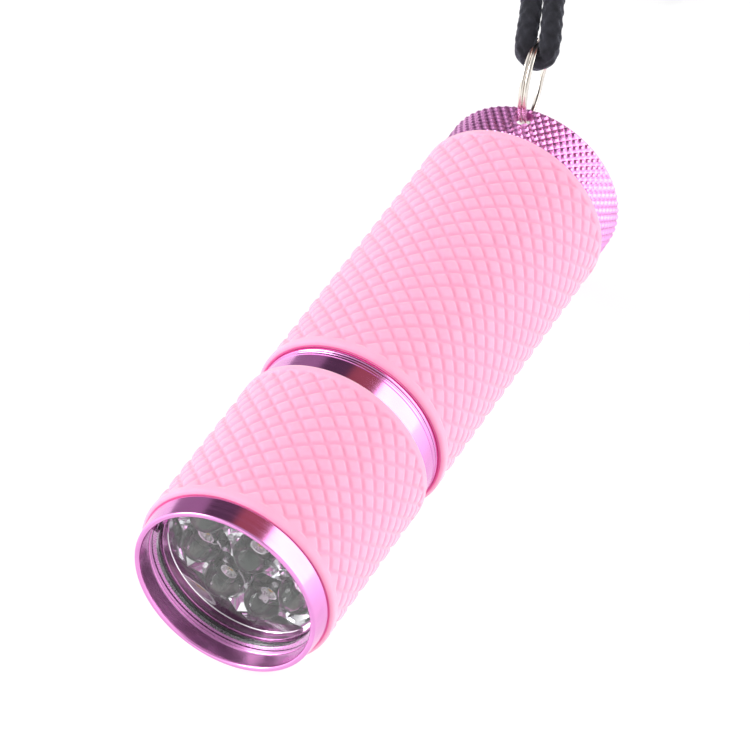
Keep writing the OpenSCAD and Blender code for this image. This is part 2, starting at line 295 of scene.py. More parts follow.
def coil(r0, r1, length, turns, wire_r, steps=28):
    """A wire wound round local Z, from radius r0 to r1."""
    t = np.linspace(0, 1, round(turns * steps) + 1)
    r, angle = r0 + (r1 - r0) * t, FULL_TURN * turns * t
    z = wire_r + (length - 2 * wire_r) * t
    return swept(np.stack([r * np.cos(angle), r * np.sin(angle), z], -1), circle(wire_r))


def open_mesh(thing):
    """A piece's mesh, for editing."""
    bm = bmesh.new()
    bm.from_mesh(thing.data)
    return bm


def close_mesh(bm, thing):
    """Writes an edited mesh back, with its faces turned outwards."""
    bmesh.ops.recalc_face_normals(bm, faces=bm.faces)
    bm.to_mesh(thing.data)
    bm.free()


def carry(bm, edges, s, r=None):
    """Extrudes edges to s behind the front rim, and to radius r where one is given."""
    made = bmesh.ops.extrude_edge_only(bm, edges=edges)["geom"]
    made = [part for part in made if isinstance(part, bmesh.types.BMEdge)]
    for v in {v for edge in made for v in edge.verts}:
        if r is None:
            v.co.y = (s + FRONT_Y) * MM
        else:
            theta = math.atan2(v.co.x, v.co.z - AXIS_Z * MM)
            v.co = Vector(on_axis(np.array(theta), s, np.array(r))) * MM
    return made


# ---- Camera ----

CAMERA_AT = (180.275, -356.012, 378.04)
CAMERA_AZIMUTH, CAMERA_ELEVATION = 27.06, 42.405
LENS_MM, SENSOR_MM = 207.3, 36


def add_camera():
    """The camera, as fitted to the photo."""
    lens = bpy.data.cameras.new("camera")
    lens.lens, lens.sensor_width = LENS_MM, SENSOR_MM
    lens.clip_start, lens.clip_end = 0.01, 50
    camera = bpy.data.objects.new("camera", lens)
    camera.location = Vector(CAMERA_AT) * MM
    camera.rotation_euler = (
        math.radians(90 - CAMERA_ELEVATION), 0, math.radians(CAMERA_AZIMUTH)
    )
    link(camera)
    bpy.context.scene.camera = camera


add_camera()


# ---- Material helpers ----

def add_node(tree, kind, inputs=None, **settings):
    """A shader node, with its inputs given as values or as other nodes' sockets."""
    node = tree.nodes.new("ShaderNode" + kind)
    for name, value in settings.items():
        setattr(node, name, value)
    for name, value in (inputs or {}).items():
        socket = node.inputs[name]
        if isinstance(value, bpy.types.NodeSocket):
            tree.links.new(value, socket)
        else:
            socket.default_value = value
    return node


def maths(tree, operation, *values):
    """The result of a Math node."""
    return add_node(tree, "Math", dict(enumerate(values)), operation=operation).outputs[0]


def mapped(tree, value, first, last, low, high):
    """A value from first to last mapped to low to high."""
    return add_node(tree, "MapRange", {
        "Value": value, "From Min": first, "From Max": last, "To Min": low, "To Max": high,
    }).outputs["Result"]


def ramp(tree, fac, stops):
    """A colour ramp over fac, from (place, colour) stops."""
    node = add_node(tree, "ValToRGB", {"Fac": fac})
    elements = node.color_ramp.elements
    while len(elements) < len(stops):
        elements.new(0.5)
    for element, (place, colour) in zip(elements, stops):
        element.position = place
        element.color = (*colour, 1)
    return node.outputs["Color"]


def blend_colours(tree, factor, first, second, how="MIX"):
    """Two colour sockets, mixed or multiplied."""
    node = add_node(tree, "Mix", {"Factor": factor}, data_type="RGBA", blend_type=how)
    inputs = [socket for socket in node.inputs if socket.type == "RGBA"]
    for socket, colour in zip(inputs, (first, second)):
        tree.links.new(colour, socket)
    return next(socket for socket in node.outputs if socket.type == "RGBA")


def shade(colour, factor):
    """A colour made lighter or darker."""
    return tuple(min(1.0, c * factor) for c in colour)


class Finish:
    """A Principled material with its own node tree, and the name of a slot for it."""

    def __init__(self, name, slot=None, **sockets):
        self.slot = slot or name
        self.material = bpy.data.materials.new(name)
        self.material.use_nodes = True
        self.tree = self.material.node_tree
        self.shader = self.tree.nodes["Principled BSDF"]
        for socket, value in sockets.items():
            self.shader.inputs[socket.replace("_", " ")].default_value = value
        coordinates = add_node(self.tree, "TexCoord")
        self.place = coordinates.outputs["Object"]

    def noise(self, scale, detail=3.0, stretch=None):
        """Noise with about scale features a metre, or stretched by a scale along each axis."""
        vector = self.place
        if stretch:
            mapping = add_node(self.tree, "Mapping", {"Vector": vector, "Scale": stretch})
            vector = mapping.outputs["Vector"]
        return add_node(
            self.tree, "TexNoise", {"Vector": vector, "Scale": scale, "Detail": detail}
        ).outputs["Fac"]

    def spread(self, value, low, high, first=0.3, last=0.7):
        """A value, such as noise, mapped to low to high."""
        return mapped(self.tree, value, first, last, low, high)

    def set(self, socket, source):
        self.tree.links.new(source, self.shader.inputs[socket])

    def bump(self, height, distance, strength=1.0):
        """Fine relief, distance in millimetres."""
        node = add_node(
            self.tree, "Bump",
            {"Height": height, "Distance": distance * MM, "Strength": strength},
        )
        self.tree.links.new(node.outputs["Normal"], self.shader.inputs["Normal"])

    def mottle(self, colour, scale, amount=0.06):
        """The colour, a little lighter and darker in patches."""
        stops = [(0.3, shade(colour, 1 - amount)), (0.7, shade(colour, 1 + amount))]
        self.set("Base Color", ramp(self.tree, self.noise(scale), stops))

    def axis_distance(self):
        """Distance from the lamp's axis, in metres."""
        parts = add_node(self.tree, "SeparateXYZ", {"Vector": self.place}).outputs
        height = maths(self.tree, "SUBTRACT", parts["Z"], AXIS_Z * MM)
        flat = add_node(self.tree, "CombineXYZ", {"X": parts["X"], "Y": height}).outputs[0]
        length = add_node(self.tree, "VectorMath", {0: flat}, operation="LENGTH")
        return length.outputs["Value"]


# ---- Materials ----

def silicone():
    """Soft pink rubber, with painted shade in its grooves and on its rounded ends."""
    finish = Finish(
        "pink_silicone", Roughness=0.62, Subsurface_Weight=0.22,
        Subsurface_Scale=1.6 * MM, Sheen_Weight=0.6, Sheen_Roughness=0.4,
    )
    finish.shader.inputs["Subsurface Radius"].default_value = (1.0, 0.45, 0.6)
    finish.shader.inputs["Specular IOR Level"].default_value = 0.35
    # Painted shade: the pink darkens nearer the axis, darkest on the sleeves' rounded ends and deeper
    # in the groove bottoms, standing in for shade; pad is the sleeve's own colour.
    edge, painted_groove_shade, pad = (0.93, 0.12, 0.36), (0.955, 0.365, 0.545), (0.965, 0.42, 0.60)
    depth = finish.spread(
        finish.axis_distance(), 0, 1, (GRIP_R - END_ROUNDING) * MM, (GRIP_R - 0.04) * MM
    )
    colour = ramp(finish.tree, depth, [(0.1, edge), (0.3, painted_groove_shade), (0.6, painted_groove_shade), (1.0, pad)])
    cloudy = ramp(finish.tree, finish.noise(420), [(0.3, (0.94, 0.93, 0.95)), (0.7, (1, 1, 1))])
    finish.set("Base Color", blend_colours(finish.tree, 1.0, colour, cloudy, "MULTIPLY"))
    finish.set("Roughness", finish.spread(finish.noise(2600), 0.56, 0.7))
    finish.bump(finish.noise(9000, 4), 0.02, 0.5)
    return finish


def anodised(name, colour, rough, line_height):
    """Anodised aluminium with the fine lines of turning round the axis."""
    finish = Finish(name, "pink_anodised_aluminium", Metallic=1.0, Roughness=rough)
    finish.mottle(colour, 240, 0.05)
    lines = finish.noise(1, 4, stretch=(60, 16000, 60))
    finish.set("Roughness", finish.spread(lines, rough * 0.7, rough * 1.5))
    finish.bump(lines, line_height, 0.6)
    return finish


def plain_metal(name, colour, rough, grain=5000, height=0.004):
    """Metal with a fine grain in its polish."""
    finish = Finish(name, Metallic=1.0, Roughness=rough)
    finish.mottle(colour, 600, 0.06)
    grain_noise = finish.noise(grain, 4)
    finish.set("Roughness", finish.spread(grain_noise, rough * 0.75, rough * 1.5))
    finish.bump(grain_noise, height, 0.5)
    return finish


def plain_plastic(name, colour, rough, grain=7000, height=0.015, **sockets):
    """Plastic or rubber with a fine moulded grain."""
    finish = Finish(name, Roughness=rough, **sockets)
    finish.mottle(colour, 500, 0.05)
    grain_noise = finish.noise(grain, 3)
    finish.set("Roughness", finish.spread(grain_noise, rough * 0.85, min(1, rough * 1.15)))
    finish.bump(grain_noise, height, 0.6)
    return finish


def clear(name, colour, rough, ior):
    """Clear plastic with faint flow marks."""
    finish = Finish(name, Roughness=rough, IOR=ior, Transmission_Weight=1.0)
    finish.mottle(colour, 150, 0.02)
    finish.bump(finish.noise(260, 2), 0.01, 0.4)
    return finish


def cord_finish():
    """Black polyester braid, with a sheen of loose fibres."""
    finish = Finish("black_cord", Roughness=0.9, Sheen_Weight=0.5, Sheen_Roughness=0.45)
    finish.shader.inputs["Sheen Tint"].default_value = (0.55, 0.58, 0.7, 1)
    finish.shader.inputs["Specular IOR Level"].default_value = 0.3
    finish.mottle((0.014, 0.014, 0.019), 900, 0.5)
    finish.bump(finish.noise(14000, 5), 0.06, 0.9)
    return finish


def board_finish():
    """Green solder mask with tinned ring tracks about the lamp's axis."""
    finish = Finish("circuit_board", Roughness=0.32)
    track_pitch = 3.6 * MM
    rings = maths(finish.tree, "MULTIPLY", finish.axis_distance(), 1 / track_pitch)
    part = maths(finish.tree, "FRACT", rings)
    mask, tin = (0.012, 0.10, 0.04), (0.62, 0.60, 0.52)
    finish.set("Base Color", ramp(
        finish.tree, part, [(0.0, mask), (0.66, shade(mask, 1.4)), (0.7, tin), (0.95, tin)]
    ))
    finish.set("Roughness", finish.spread(finish.noise(2500), 0.25, 0.42))
    finish.bump(part, 0.03, 0.5)
    return finish


def cell_finish():
    """A slate blue foil jacket with a pale band at its front end and a thin bright line."""
    finish = Finish("cell_jacket", Metallic=0.55, Roughness=0.3, Coat_Weight=0.5)
    front, back = span("cell_1")
    parts = add_node(finish.tree, "SeparateXYZ", {"Vector": finish.place}).outputs
    along = finish.spread(parts["Y"], 0, 1, (front + FRONT_Y) * MM, (back + FRONT_Y) * MM)
    slate, line, pale = (0.05, 0.10, 0.19), (0.75, 0.75, 0.78), (0.42, 0.50, 0.58)
    bands = ramp(finish.tree, along, [
        (0.0, pale), (0.13, pale), (0.135, line), (0.15, line), (0.155, slate), (1.0, slate),
    ])
    finish.set("Base Color", bands)
    finish.set("Roughness", finish.spread(finish.noise(1800), 0.22, 0.4))
    finish.bump(finish.noise(1200, 3), 0.01, 0.5)
    return finish


PINK_METAL = (0.80, 0.32, 0.69)
SILICONE = silicone()
SHELL_METAL = anodised("pink_anodised_bezel", PINK_METAL, 0.16, 0.003)
CAP_METAL = anodised("pink_anodised_knurl", shade(PINK_METAL, 1.02), 0.27, 0.002)
CHROME = plain_metal("chromed_plastic", (0.86, 0.86, 0.88), 0.06, 900, 0.01)
NICKEL = plain_metal("bright_nickel", (0.66, 0.61, 0.56), 0.11, 2500, 0.003)
STEEL = plain_metal("spring_steel", (0.66, 0.66, 0.68), 0.24)
TIN = plain_metal("solder_tin", (0.74, 0.74, 0.75), 0.28)
BRASS = plain_metal("brass_contact", (0.86, 0.66, 0.30), 0.2)
BLACK_RUBBER = plain_plastic("black_rubber", (0.016, 0.016, 0.018), 0.75)
BLACK_MOULDING = plain_plastic("black_moulding", (0.02, 0.02, 0.022), 0.5)
TIE_RUBBER = plain_plastic("tie_band", (0.02, 0.02, 0.023), 0.8)
BOOT_RUBBER = plain_plastic(
    "boot_rubber", (0.90, 0.50, 0.66), 0.6, 6000, 0.02,
    Subsurface_Weight=0.25, Subsurface_Scale=1.5 * MM,
)
CLEAR_EPOXY = clear("lamp_epoxy", (0.97, 0.97, 0.96), 0.03, 1.5)
WINDOW = clear("window_polycarbonate", (0.99, 0.99, 1.0), 0.0, 1.45)
PHOSPHOR = plain_plastic("lamp_phosphor", (0.85, 0.55, 0.08), 0.6, slot="lamp_epoxy")
CORD_FINISH = cord_finish()
BOARD_FINISH = board_finish()
CELL_FINISH = cell_finish()


# ---- The lanyard ----

CORD_D = 2.8
CORD_SIDES = 32
BRAID_STRANDS = 6
BRAID_PITCH = 1.7
BRAID_RELIEF, BRAID_MIDDLE = 0.2, 0.72
CORD_STEP = 0.22

# From the ring's top, down the right strand and into the hank
ROUTE_OUT = [
    (-1.3, 45.1, 31.6), (-0.1, 45.4, 32.3), (0.2, 46.0, 34.1), (-0.6, 48.3, 36.4),
    (-1.9, 51.7, 38.0), (-4.3, 56.8, 39.0), (-6.6, 62.6, 38.4), (-8.4, 69.4, 36.0),
    (-9.5, 76.1, 32.0), (-9.8, 82.5, 26.4), (-9.3, 88.1, 20.2), (-8.3, 92.8, 14.1),
    (-7.1, 96.9, 9.0), (-6.1, 100.5, 4.6), (-5.6, 104.1, 1.8), (-5.6, 107, 1.5),
]
# From the hank up the left strand and back to the ring
ROUTE_BACK = [
    (-8.5, 107, 1.5), (-8.5, 104.0, 1.8), (-9.0, 100.4, 4.6), (-10.0, 96.8, 9.0),
    (-11.2, 92.7, 14.1), (-12.2, 88.0, 20.2), (-12.7, 82.4, 26.4), (-12.4, 76.0, 32.0),
    (-11.3, 69.2, 36.0), (-9.6, 62.4, 38.4), (-7.6, 56.4, 39.0), (-4.9, 51.2, 38.0),
    (-3.5, 47.8, 36.4), (-2.9, 45.5, 34.1), (-2.6, 45.0, 32.3),
]
HANK_X, HANK_Z, TIED_Z = -10.0, 1.5, 1.9
ARC_POINTS, ARC_OVERRUN, TIE_OVERHANG = 7, 0.1, 0.5
LOOP_Y, OUTER_LOOP_R, INNER_LOOP_R = 125.9, 8.2, 5.3
# Where the strands lie under the tie, from right to left
LANES = [ROUTE_OUT[-1][0], ROUTE_BACK[0][0], -11.5, -14.4]
BIGHT = [(-16.3, 112.2), (-16.6, 110.1), (-14.2, 108.6), (-11.7, 110.1), (-11.4, 112.2)]
TIE_FRONT, TIE_BACK = corners("hank_tie")[0].y, corners("hank_tie")[1].y


def hank_loop(radius, first, last):
    """Round the back of the hank, from the lane at x first to the lane at x last."""
    way = 1 if first > last else -1
    arc = [
        (HANK_X + way * radius * math.cos(a), LOOP_Y + radius * math.sin(a), HANK_Z)
        for a in np.linspace(-ARC_OVERRUN, 1 + ARC_OVERRUN, ARC_POINTS) * math.pi
    ]
    tied = [(TIE_FRONT - TIE_OVERHANG, TIED_Z), (TIE_BACK + TIE_OVERHANG, TIED_Z)]
    out = [(first, y, z) for y, z in tied]
    back = [(last, y, z) for y, z in reversed(tied)]
    return out + arc + back


def hank_route():
    """Down one lane, round the outer loop, round the far bight, and back by the inner loop."""
    outer = hank_loop(OUTER_LOOP_R, LANES[0], LANES[3])
    inner = hank_loop(INNER_LOOP_R, LANES[2], LANES[1])
    return outer + [(x, y, HANK_Z) for x, y in BIGHT] + inner


def braid(count, sides):
    """How far each point of the cord stands from its middle, as a share of its radius."""
    repeats = round(count * CORD_STEP / BRAID_PITCH)
    around = np.arange(sides)[None] / sides * BRAID_STRANDS
    along = np.arange(count)[:, None] / count * repeats
    one, other = around + along, around - along
    over = 0.5 + 0.5 * np.sin(math.pi * one) * np.sin(math.pi * other)
    height = over * np.abs(np.cos(math.pi * one)) + (1 - over) * np.abs(np.cos(math.pi * other))
    return 1 + BRAID_RELIEF * (height - BRAID_MIDDLE)


def add_lanyard_cord():
    """The braided loop; gives the piece, its path in metres and its length."""
    points = ROUTE_OUT + hank_route() + ROUTE_BACK
    path = smooth_path(points, CORD_STEP, closed=True)[:-1]
    section = circle(CORD_D / 2, CORD_SIDES)
    tube = swept(path, section, closed=True, radii=braid(len(path), CORD_SIDES))
    cord = add_piece("lanyard_braid", tube, CORD_FINISH, "lanyard",
                     ("lanyard_cord", "lanyard_hank"), sharp=180)
    length = np.linalg.norm(np.diff(path, axis=0), axis=1).sum() * MM
    return cord, path * MM, float(length)


RING_CENTRE = np.array([-1.4, 45.1, 28.0])
RING_MEAN_R, RING_WIRE_W, RING_WIRE_T, RING_EDGE = 5.6, 0.56, 0.6, 0.1
RING_TURN = math.radians(9.3)
# In degrees round the ring: where the wire starts and ends, and where its step past itself is
RING_FIRST, RING_LAST, RING_STEP_AT, RING_STEP_L = 70, 620, 318, 54
RING_SPACING = 1.04


def add_split_ring():
    """One flat wire wound about one and a half times, stepping sideways where it passes itself."""
    degrees = np.linspace(RING_FIRST, RING_LAST, 360)
    angle = np.radians(degrees)
    step = np.clip((degrees - RING_STEP_AT) / RING_STEP_L, 0, 1)
    offset = RING_WIRE_W * (step * step * (3 - 2 * step) - 0.5) * RING_SPACING
    back = np.array([-math.sin(RING_TURN), math.cos(RING_TURN), 0])
    side = np.array([math.cos(RING_TURN), math.sin(RING_TURN), 0])
    radial = np.cos(angle)[:, None] * back + np.sin(angle)[:, None] * np.array([0, 0, 1.0])
    path = RING_CENTRE + RING_MEAN_R * radial + offset[:, None] * side
    section = cut_rectangle(RING_WIRE_T / 2, RING_WIRE_W / 2, RING_EDGE, RING_EDGE)
    points = np.stack([path + u * radial + v * side for u, v in section], 1).reshape(-1, 3)
    ring = points, tube_faces(len(path), len(section))
    return add_piece("key_ring", ring, NICKEL, "lanyard", ("split_ring",), sharp=50)


TIE_WIDTH, TIE_LOW, TIE_HIGH = 12.6, 0.24, 3.56
TIE_THICK, TIE_EDGE, TIE_CORNER_R, TIE_STEP = 0.4, 0.15, 1.1, 0.35


def add_hank_tie():
    """A moulded rubber band round the four strands."""
    r = TIE_CORNER_R
    left, right = HANK_X - TIE_WIDTH / 2 + r, HANK_X + TIE_WIDTH / 2 - r
    low, high = TIE_LOW + r, TIE_HIGH - r
    path = []
    for x, z, first in ((right, low, -90), (right, high, 0), (left, high, 90), (left, low, 180)):
        for a in np.radians(np.linspace(first, first + 90, 7)):
            path.append((x + r * math.cos(a), 0, z + r * math.sin(a)))
    line = smooth_path(path + [(HANK_X, 0, TIE_LOW), path[0]], TIE_STEP)
    line[:, 1] = (TIE_FRONT + TIE_BACK) / 2
    section = cut_rectangle((TIE_BACK - TIE_FRONT) / 2, TIE_THICK / 2, TIE_EDGE, TIE_THICK / 4)
    band = swept(line[:-1], section, closed=True)
    return add_piece("hank_band", band, TIE_RUBBER, "lanyard", ("hank_tie",), sharp=50)


key_ring = add_split_ring()
hank_band = add_hank_tie()
lanyard_braid, cord_path, cord_length = add_lanyard_cord()


# ---- Floor and studio light ----

FLOOR_GLOW, FLOOR_GREY = 0.85, (0.2, 0.2, 0.202)
TENT_STRENGTH = 3.0
WHITE, LILAC, PURPLE = (1, 1, 1), (0.32, 0.31, 0.33), (0.12, 0.10, 0.12)
DARK, WARM = (0.03, 0.025, 0.03), (0.12, 0.05, 0.04)
# The tent's colour by lean, in degrees from straight up towards +X
TENT_BEHIND = [
    (-180, PURPLE), (-49, PURPLE), (-44, DARK), (-14, DARK), (-7, WARM), (25, WARM),
    (29, WHITE), (93, WHITE), (97, LILAC),
]
GREY_LEFT, GREY_TOP, GREY_RIGHT = (0.56,) * 3, (0.2,) * 3, (0.46,) * 3
TENT_IN_FRONT = [
    (-180, GREY_LEFT), (-50, GREY_LEFT), (-15, GREY_TOP), (20, GREY_TOP),
    (60, GREY_RIGHT), (180, GREY_RIGHT),
]
# Part of the direction that points to +Y, where the tent goes over from one to the other
BEHIND_FROM, BEHIND_TO = 0.2, 0.36


def add_floor():
    """A plain pale floor that glows, as a lit sweep does."""
    bpy.ops.mesh.primitive_plane_add(size=6, location=(0, 0, 0))
    floor = bpy.context.object
    floor.name = "floor"
    finish = Finish("floor_white", Roughness=0.35, Emission_Strength=FLOOR_GLOW)
    finish.mottle(FLOOR_GREY, 3, 0.01)
    finish.shader.inputs["Emission Color"].default_value = (*WHITE, 1)
    floor.data.materials.append(finish.material)


def add_world():
    """A light tent, with bands behind the lamp that its bare metal mirrors."""
    world = bpy.data.worlds.new("tent")
    bpy.context.scene.world = world
    world.use_nodes = True
    tree = world.node_tree
    direction = add_node(tree, "TexCoord").outputs["Generated"]
    parts = add_node(tree, "SeparateXYZ", {"Vector": direction}).outputs
    lean = maths(tree, "ARCTAN2", parts["X"], parts["Z"])
    place = mapped(tree, lean, -math.pi, math.pi, 0, 1)
    behind, in_front = (
        ramp(tree, place, [(0.5 + degrees / 360, colour) for degrees, colour in stops])
        for stops in (TENT_BEHIND, TENT_IN_FRONT)
    )
    share = mapped(tree, parts["Y"], BEHIND_FROM, BEHIND_TO, 0, 1)
    background = tree.nodes["Background"]
    tree.links.new(blend_colours(tree, share, in_front, behind), background.inputs["Color"])
    background.inputs["Strength"].default_value = TENT_STRENGTH


def add_softbox(name, place, aim, size, power):
    """A round area lamp turned towards aim."""
    lamp = bpy.data.lights.new(name, "AREA")
    lamp.shape, lamp.size, lamp.energy = "DISK", size, power
    box = bpy.data.objects.new(name, lamp)
    box.location = place
    box.rotation_euler = (Vector(place) - Vector(aim)).to_track_quat("Z", "Y").to_euler()
    link(box)


bpy.context.scene.view_settings.view_transform = "Standard"
add_floor()
add_world()
add_softbox("key", (-0.7, -0.35, 0.5), (0, 0, 0), 0.6, 5)


# ---- Lozenge patterned tubes ----

class Lozenges:
    """A pattern of lozenges round the lamp, with grid lines along both of its diagonals."""

    def __init__(self, around, pitch, centre_angle, centre_s, lines):
        self.around, self.pitch = around, pitch
        self.angle, self.s, self.lines = math.radians(centre_angle), centre_s, lines

    def place(self, angle, s):
        """The two diagonal coordinates of a point; whole numbers are the grooves."""
        turn = self.around * (angle - self.angle) / FULL_TURN
        along = (s - self.s) / self.pitch
        return turn + along + 0.5, turn - along + 0.5

    def grid(self, start, end):
        """Angles, s and quads of the pattern from s start to s end, and a little more."""
        k, half = len(self.lines), self.pitch / 2
        rows = np.arange(math.floor((start - self.s) / half) - 2,
                         math.ceil((end - self.s) / half) + 3)
        sub = np.arange(k)
        d, a, i, j = np.meshgrid(rows, np.arange(self.around), sub, sub, indexing="ij")
        first, second = (a * k + i).ravel(), ((a - d) * k + j).ravel()
        corner_steps = [(0, 0), (0, 1), (1, 1), (1, 0)]
        keys = np.stack([np.stack([first + u, second + v], -1) for u, v in corner_steps], 1)
        wrap = keys[..., 0] // (self.around * k)
        keys = keys - wrap[..., None] * self.around * k
        found, index = np.unique(keys.reshape(-1, 2), axis=0, return_inverse=True)
        values = found // k + np.array(self.lines)[found % k]
        p, q = values[:, 0], values[:, 1]
        angle = self.angle + (p + q - 1) / 2 * FULL_TURN / self.around
        s = self.s + (p - q) / 2 * self.pitch
        return angle, s, index.reshape(-1, 4)


def trim(bm, start, end, cuts):
    """Cuts a tube off at start and end, and gives it a ring of edges at each cut."""
    for place, outside in [(start, -1), (end, 1)] + [(cut, 0) for cut in cuts]:
        bmesh.ops.bisect_plane(
            bm, geom=bm.verts[:] + bm.edges[:] + bm.faces[:], dist=1e-8,
            plane_co=(0, (place + FRONT_Y) * MM, 0), plane_no=(0, outside or 1, 0),
            clear_outer=outside != 0,
        )


def raise_pattern(bm, pattern, height):
    """Moves each point to height(p, q, s) from the axis."""
    for v in bm.verts:
        x, y, z = v.co / MM
        theta, s = math.atan2(x, z - AXIS_Z), y - FRONT_Y
        r = height(*pattern.place(theta, s), s)
        v.co = Vector(on_axis(np.array(theta), s, np.array(r))) * MM


def patterned_tube(name, pattern, start, end, cuts, height, front, rear):
    """A closed tube whose outside follows height(p, q, s) from start to end.

    front and rear are the (s, r) points that each end goes on through, and its two last
    rings are joined on the inside."""
    angle, s, faces = pattern.grid(start, end)
    thing = new_object(name, on_axis(angle, s, np.full(len(s), GRIP_R)), faces)
    bm = open_mesh(thing)
    trim(bm, start, end, cuts)
    raise_pattern(bm, pattern, height)
    middle = (start + end) / 2
    ends = {True: [], False: []}
    for edge in bm.edges:
        if edge.is_boundary:
            ends[edge.verts[0].co.y / MM - FRONT_Y < middle].append(edge)
    inner = []
    for edges, outline in ((ends[True], front), (ends[False], rear)):
        for place, r in outline:
            edges = carry(bm, edges, place, r)
        inner += edges
    bmesh.ops.bridge_loops(bm, edges=inner)
    close_mesh(bm, thing)
    return thing


def smooth_step(value, low, high):
    """0 below low to 1 above high, with rounded ends."""
    t = min(1.0, max(0.0, (value - low) / (high - low)))
    return t * t * (3 - 2 * t)


def groove(part, width):
    """0 in the middle of a groove to 1 beyond its width, across a unit cell."""
    return smooth_step(min(part % 1, 1 - part % 1), 0.0, width)


# ---- Grip sleeves ----

LOZENGES_AROUND, LOZENGE_PITCH = 28, 2.84
LOZENGE_LINES = [0, 0.05, 0.1, 0.16, 0.22, 0.34, 0.5, 0.66, 0.78, 0.84, 0.9, 0.95]
GROOVE_DEPTH, GROOVE_SHARE = 0.27, 0.22
PAD_CROWN = 0.24
PLAIN_BAND, BAND_RAMP = 1.1, 0.5
ROUNDING_ANGLES = [60, 35, 12, 0]
SLEEVE_BORE_R = TUBE_R + 0.01


def add_sleeve(name, node, body, centre_angle, centre_s):
    """A grip sleeve with rounded ends, and its lozenges between two plain bands."""
    start, end = span(node)
    pattern = Lozenges(LOZENGES_AROUND, LOZENGE_PITCH, centre_angle, centre_s, LOZENGE_LINES)
    first, last = start + PLAIN_BAND, end - PLAIN_BAND

    def height(p, q, s):
        shown = smooth_step(s, first, first + BAND_RAMP) * smooth_step(-s, -last, -last + BAND_RAMP)
        pad = groove(p, GROOVE_SHARE) * groove(q, GROOVE_SHARE)
        crown = ((p % 1 - 0.5) ** 2 + (q % 1 - 0.5) ** 2) * PAD_CROWN * 2
        return GRIP_R - shown * (GROOVE_DEPTH * (1 - pad) + crown * pad)

    rounding = [
        (END_ROUNDING * (1 - math.cos(a)), GRIP_R - END_ROUNDING * (1 - math.sin(a)))
        for a in np.radians(ROUNDING_ANGLES)
    ]
    front = [(start + s, r) for s, r in rounding] + [(start, SLEEVE_BORE_R)]
    rear = [(end - s, r) for s, r in rounding] + [(end, SLEEVE_BORE_R)]
    cuts = [first, first + BAND_RAMP / 2, first + BAND_RAMP,
            last, last - BAND_RAMP / 2, last - BAND_RAMP]
    sleeve = patterned_tube(name, pattern, start + END_ROUNDING, end - END_ROUNDING, cuts,
                            height, front, rear)
    finish_piece(sleeve, SILICONE, body, (node,), sharp=180)


add_sleeve("front_grip", "front_grip_sleeve", "head", 15.3, 6.0)
add_sleeve("rear_grip", "rear_grip_sleeve", "barrel", 4.93, 58.47)


# ---- Tail cap ----

KNURLS_AROUND, KNURL_PITCH, KNURL_DEPTH, KNURL_S = 68, 1.7, 0.21, 82
KNURL_LINES = [0, 0.06, 0.32, 0.68, 0.94]
KNURL_FLAT, KNURL_SLOPE = 0.04, 0.28
CAP_R = radius_of("tail_cap")
PLUG_START, PLUG_R, PLUG_GROOVE = 72.9, 11.7, 77.4
RING_GROOVE_L, RING_GROOVE_DEPTH, THREAD_DEPTH = 0.9, 0.3, 0.45
BOOT_FLOOR, RECESS_START, RECESS_R = 79.6, 81.4, 11.2
CAP_BORE, BOOT_HOLE_R = 10.3, 6.1
CAP_CHAMFER_FRONT, CAP_CHAMFER_REAR = 0.35, 0.45
LANYARD_HOLE, DRILL_L = (-0.6, 40.35, 1.3), 14


def cap_front():
    """From the knurl over the front face and along the threaded plug into the bore."""
    groove_end, groove_r = PLUG_GROOVE + RING_GROOVE_L, PLUG_R - RING_GROOVE_DEPTH
    root_r = PLUG_R - THREAD_DEPTH
    return [
        (CAP_START + 0.12, CAP_R - 0.32), (CAP_START, CAP_R - 0.4), (CAP_START, PLUG_R),
        (groove_end, PLUG_R), (groove_end, groove_r), (PLUG_GROOVE, groove_r),
        (PLUG_GROOVE, PLUG_R), (PLUG_GROOVE - 0.4, PLUG_R), (PLUG_GROOVE - 0.7, root_r),
        (PLUG_START + 0.3, root_r), (PLUG_START, PLUG_R - 0.7), (PLUG_START, CAP_BORE),
        (BOOT_FLOOR, CAP_BORE), (BOOT_FLOOR, BOOT_HOLE_R),
    ]


def cap_rear():
    """From the knurl over the rear rim and down the recess to the boot's hole."""
    return [
        (CAP_END - 0.2, CAP_R - 0.3), (CAP_END - 0.05, CAP_R - 0.42), (CAP_END, CAP_R - 0.6),
        (CAP_END, RECESS_R + 0.25), (CAP_END - 0.08, RECESS_R + 0.08), (CAP_END - 0.25, RECESS_R),
        (RECESS_START + 0.2, RECESS_R), (RECESS_START, RECESS_R - 0.2),
        (RECESS_START, BOOT_HOLE_R + 0.15), (RECESS_START - 0.15, BOOT_HOLE_R),
    ]


def drill_lanyard_hole(cap):
    """Cuts the ring's hole straight down through the cap's wall."""
    x, y, r = LANYARD_HOLE
    points, faces = capped_lathe([(0, 0), (0, r), (DRILL_L, r), (DRILL_L, 0)], 48)
    drill = new_object("drill", points + np.array([x, y, AXIS_Z]), faces)
    cut = cap.modifiers.new("lanyard_hole", "BOOLEAN")
    cut.operation, cut.object, cut.solver = "DIFFERENCE", drill, "EXACT"
    bpy.context.view_layer.update()
    drilled = bpy.data.meshes.new_from_object(
        cap.evaluated_get(bpy.context.evaluated_depsgraph_get())
    )
    cap.modifiers.clear()
    cap.data = drilled
    cap.data.name = cap.name
    bpy.data.objects.remove(drill)


def knurl_height(p, q, _):
    """The knurl's radius at a place of its pattern: pyramids with sharp valleys."""
    near = min(p % 1, 1 - p % 1, q % 1, 1 - q % 1)
    return CAP_R - KNURL_DEPTH * (1 - min(1.0, max(0.0, near - KNURL_FLAT) / KNURL_SLOPE))


